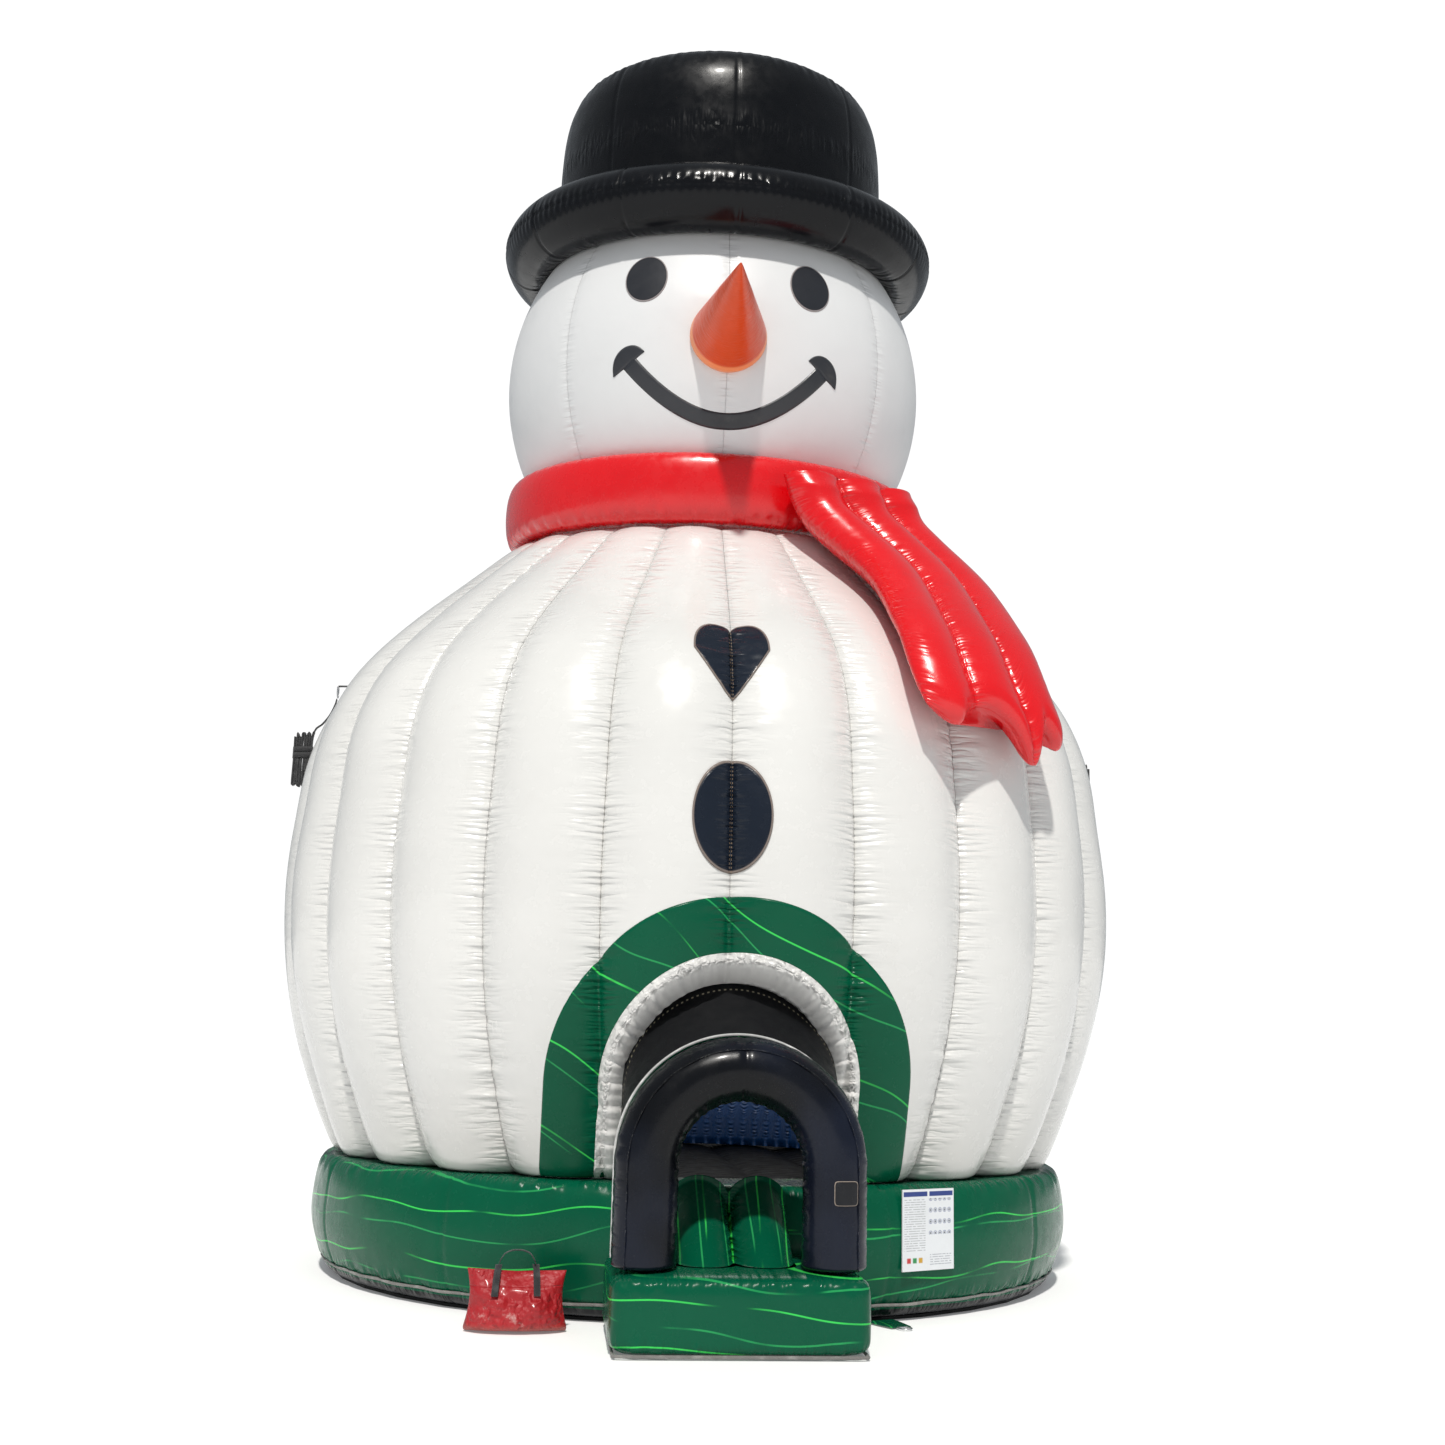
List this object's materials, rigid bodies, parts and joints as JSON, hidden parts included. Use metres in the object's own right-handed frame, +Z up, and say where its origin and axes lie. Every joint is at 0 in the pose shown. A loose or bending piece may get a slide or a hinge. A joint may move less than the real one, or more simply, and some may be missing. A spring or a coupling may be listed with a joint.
{
  "type": "inflatable yard snowman",
  "caption": "Walk-in inflatable snowman with a ribbed round body, doorway with entry arch and step, scarf, top hat, cone nose and blower.",
  "frame": {"origin": "on the ground under the body's vertical axis, at the middle of the ground sheet's underside", "axes": "+Z up along the body's axis, -Y out of the doorway, +X to the right of someone who faces the doorway"},
  "size_m": [6.212, 7.53, 9.1087],
  "materials": {
    "white_vinyl": "glossy PVC-coated polyester, sewn",
    "green_vinyl": "glossy PVC-coated polyester with thin bright lines",
    "black_vinyl": "glossy PVC-coated polyester, sewn",
    "red_vinyl": "glossy PVC-coated polyester, sewn",
    "orange_vinyl": "satin PVC-coated polyester",
    "navy_patch": "satin PVC patch, edge stitched",
    "blue_vinyl": "glossy PVC-coated polyester",
    "window_mesh": "open black safety mesh",
    "board_print": null,
    "bag_cloth": "scuffed coated bag cloth",
    "webbing": "woven polyester webbing",
    "ring_steel": "welded zinc-plated steel",
    "sleeve_cloth": "black coated cloth",
    "blower_yellow": "rotationally moulded plastic",
    "blower_dark": "moulded black plastic",
    "blower_metal": "black powder coat"
  },
  "bodies": {
    "snowman": {"wall_panel_01": "white_vinyl", "wall_panel_02": "white_vinyl", "wall_panel_03": "white_vinyl", "wall_panel_04": "white_vinyl", "wall_panel_05": "white_vinyl", "wall_panel_06": "white_vinyl", "wall_panel_07": "white_vinyl", "wall_panel_08": "white_vinyl", "wall_panel_09": "white_vinyl", "wall_panel_10": "white_vinyl", "wall_panel_11": "white_vinyl", "wall_panel_12": "white_vinyl", "neck_collar": "white_vinyl", "head": "white_vinyl", "door_reveal": "white_vinyl", "base_wall": "green_vinyl", "door_surround": "green_vinyl", "front_step": "green_vinyl", "entry_ramp": "green_vinyl", "anchor_tab": "green_vinyl", "ground_sheet": "black_vinyl", "bounce_floor": "black_vinyl", "hat_brim": "black_vinyl", "hat_crown": "black_vinyl", "entry_arch": "black_vinyl", "entry_hood": "black_vinyl", "scarf_ring": "red_vinyl", "nose": "orange_vinyl", "eye_left": "navy_patch", "eye_right": "navy_patch", "mouth": "navy_patch", "button_heart": "navy_patch", "button_oval": "navy_patch", "inner_roll": "blue_vinyl", "rear_window": "window_mesh", "rules_board": "board_print", "ballast_bag": "bag_cloth", "tether_tab_left": "webbing", "tether_tab_right": "webbing", "sleeve_strap": "webbing", "air_sleeve": "sleeve_cloth", "zip_tape": "sleeve_cloth", "blower_housing": "blower_yellow", "blower_stand": "blower_dark", "blower_cord_gland": "blower_dark", "blower_motor": "blower_metal", "blower_guard": "blower_metal"},
    "scarf_tail": {"scarf_tail": "red_vinyl"},
    "left_tether": {"tether_ring_left": "ring_steel", "tether_strap_left": "webbing", "tether_hank_left": "webbing"},
    "right_tether": {"tether_ring_right": "ring_steel", "tether_strap_right": "webbing", "tether_hank_right": "webbing"},
    "anchor_ring": {"anchor_ring": "ring_steel"},
    "bag_handle": {"bag_handle": "webbing"},
    "zip_slider": {"zip_slider": "ring_steel"},
    "zip_flap": {"zip_flap": "green_vinyl"},
    "blower_wheel": {"blower_wheel": "blower_dark"},
    "blower_rocker": {"blower_rocker": "blower_dark"}
  },
  "joints": [
    {"name": "scarf_tail_lift", "type": "hinge", "parent": "snowman", "child": "scarf_tail", "pos_m": [0.836, -1.487, 5.501], "axis": [-0.8526, -0.5225, 0], "range_deg": [0, 12]},
    {"name": "left_tether_swing", "type": "hinge", "parent": "snowman", "child": "left_tether", "pos_m": [-2.8, 0, 4.195], "axis": [0, 1, 0], "range_deg": [0, 35]},
    {"name": "right_tether_swing", "type": "hinge", "parent": "snowman", "child": "right_tether", "pos_m": [2.8, 0, 4.195], "axis": [0, -1, 0], "range_deg": [0, 35]},
    {"name": "anchor_ring_lift", "type": "hinge", "parent": "snowman", "child": "anchor_ring", "pos_m": [1.04815, -2.59427, 0.0065], "axis": [-0.9272, -0.3746, 0], "range_deg": [0, 90]},
    {"name": "bag_handle_swing", "type": "hinge", "parent": "snowman", "child": "bag_handle", "pos_m": [-1.19, -2.75, 0.356], "axis": [1, 0, 0], "range_deg": [-60, 60]},
    {"name": "zip_slide", "type": "slide", "parent": "snowman", "child": "zip_slider", "axis": [0.9063, 0.4226, 0], "range_m": [0, 0.46]},
    {"name": "zip_flap_lift", "type": "hinge", "parent": "snowman", "child": "zip_flap", "pos_m": [-1.13768, 2.43978, 0.452], "axis": [0.9063, 0.4226, 0], "range_deg": [0, 100]},
    {"name": "blower_wheel_spin", "type": "hinge", "parent": "snowman", "child": "blower_wheel", "pos_m": [0.8, 3.73, 0.262], "axis": [1, 0, 0], "continuous": true},
    {"name": "blower_switch_rock", "type": "hinge", "parent": "snowman", "child": "blower_rocker", "pos_m": [0.8, 3.47, 0.473], "axis": [1, 0, 0], "range_deg": [-8, 8]}
  ]
}
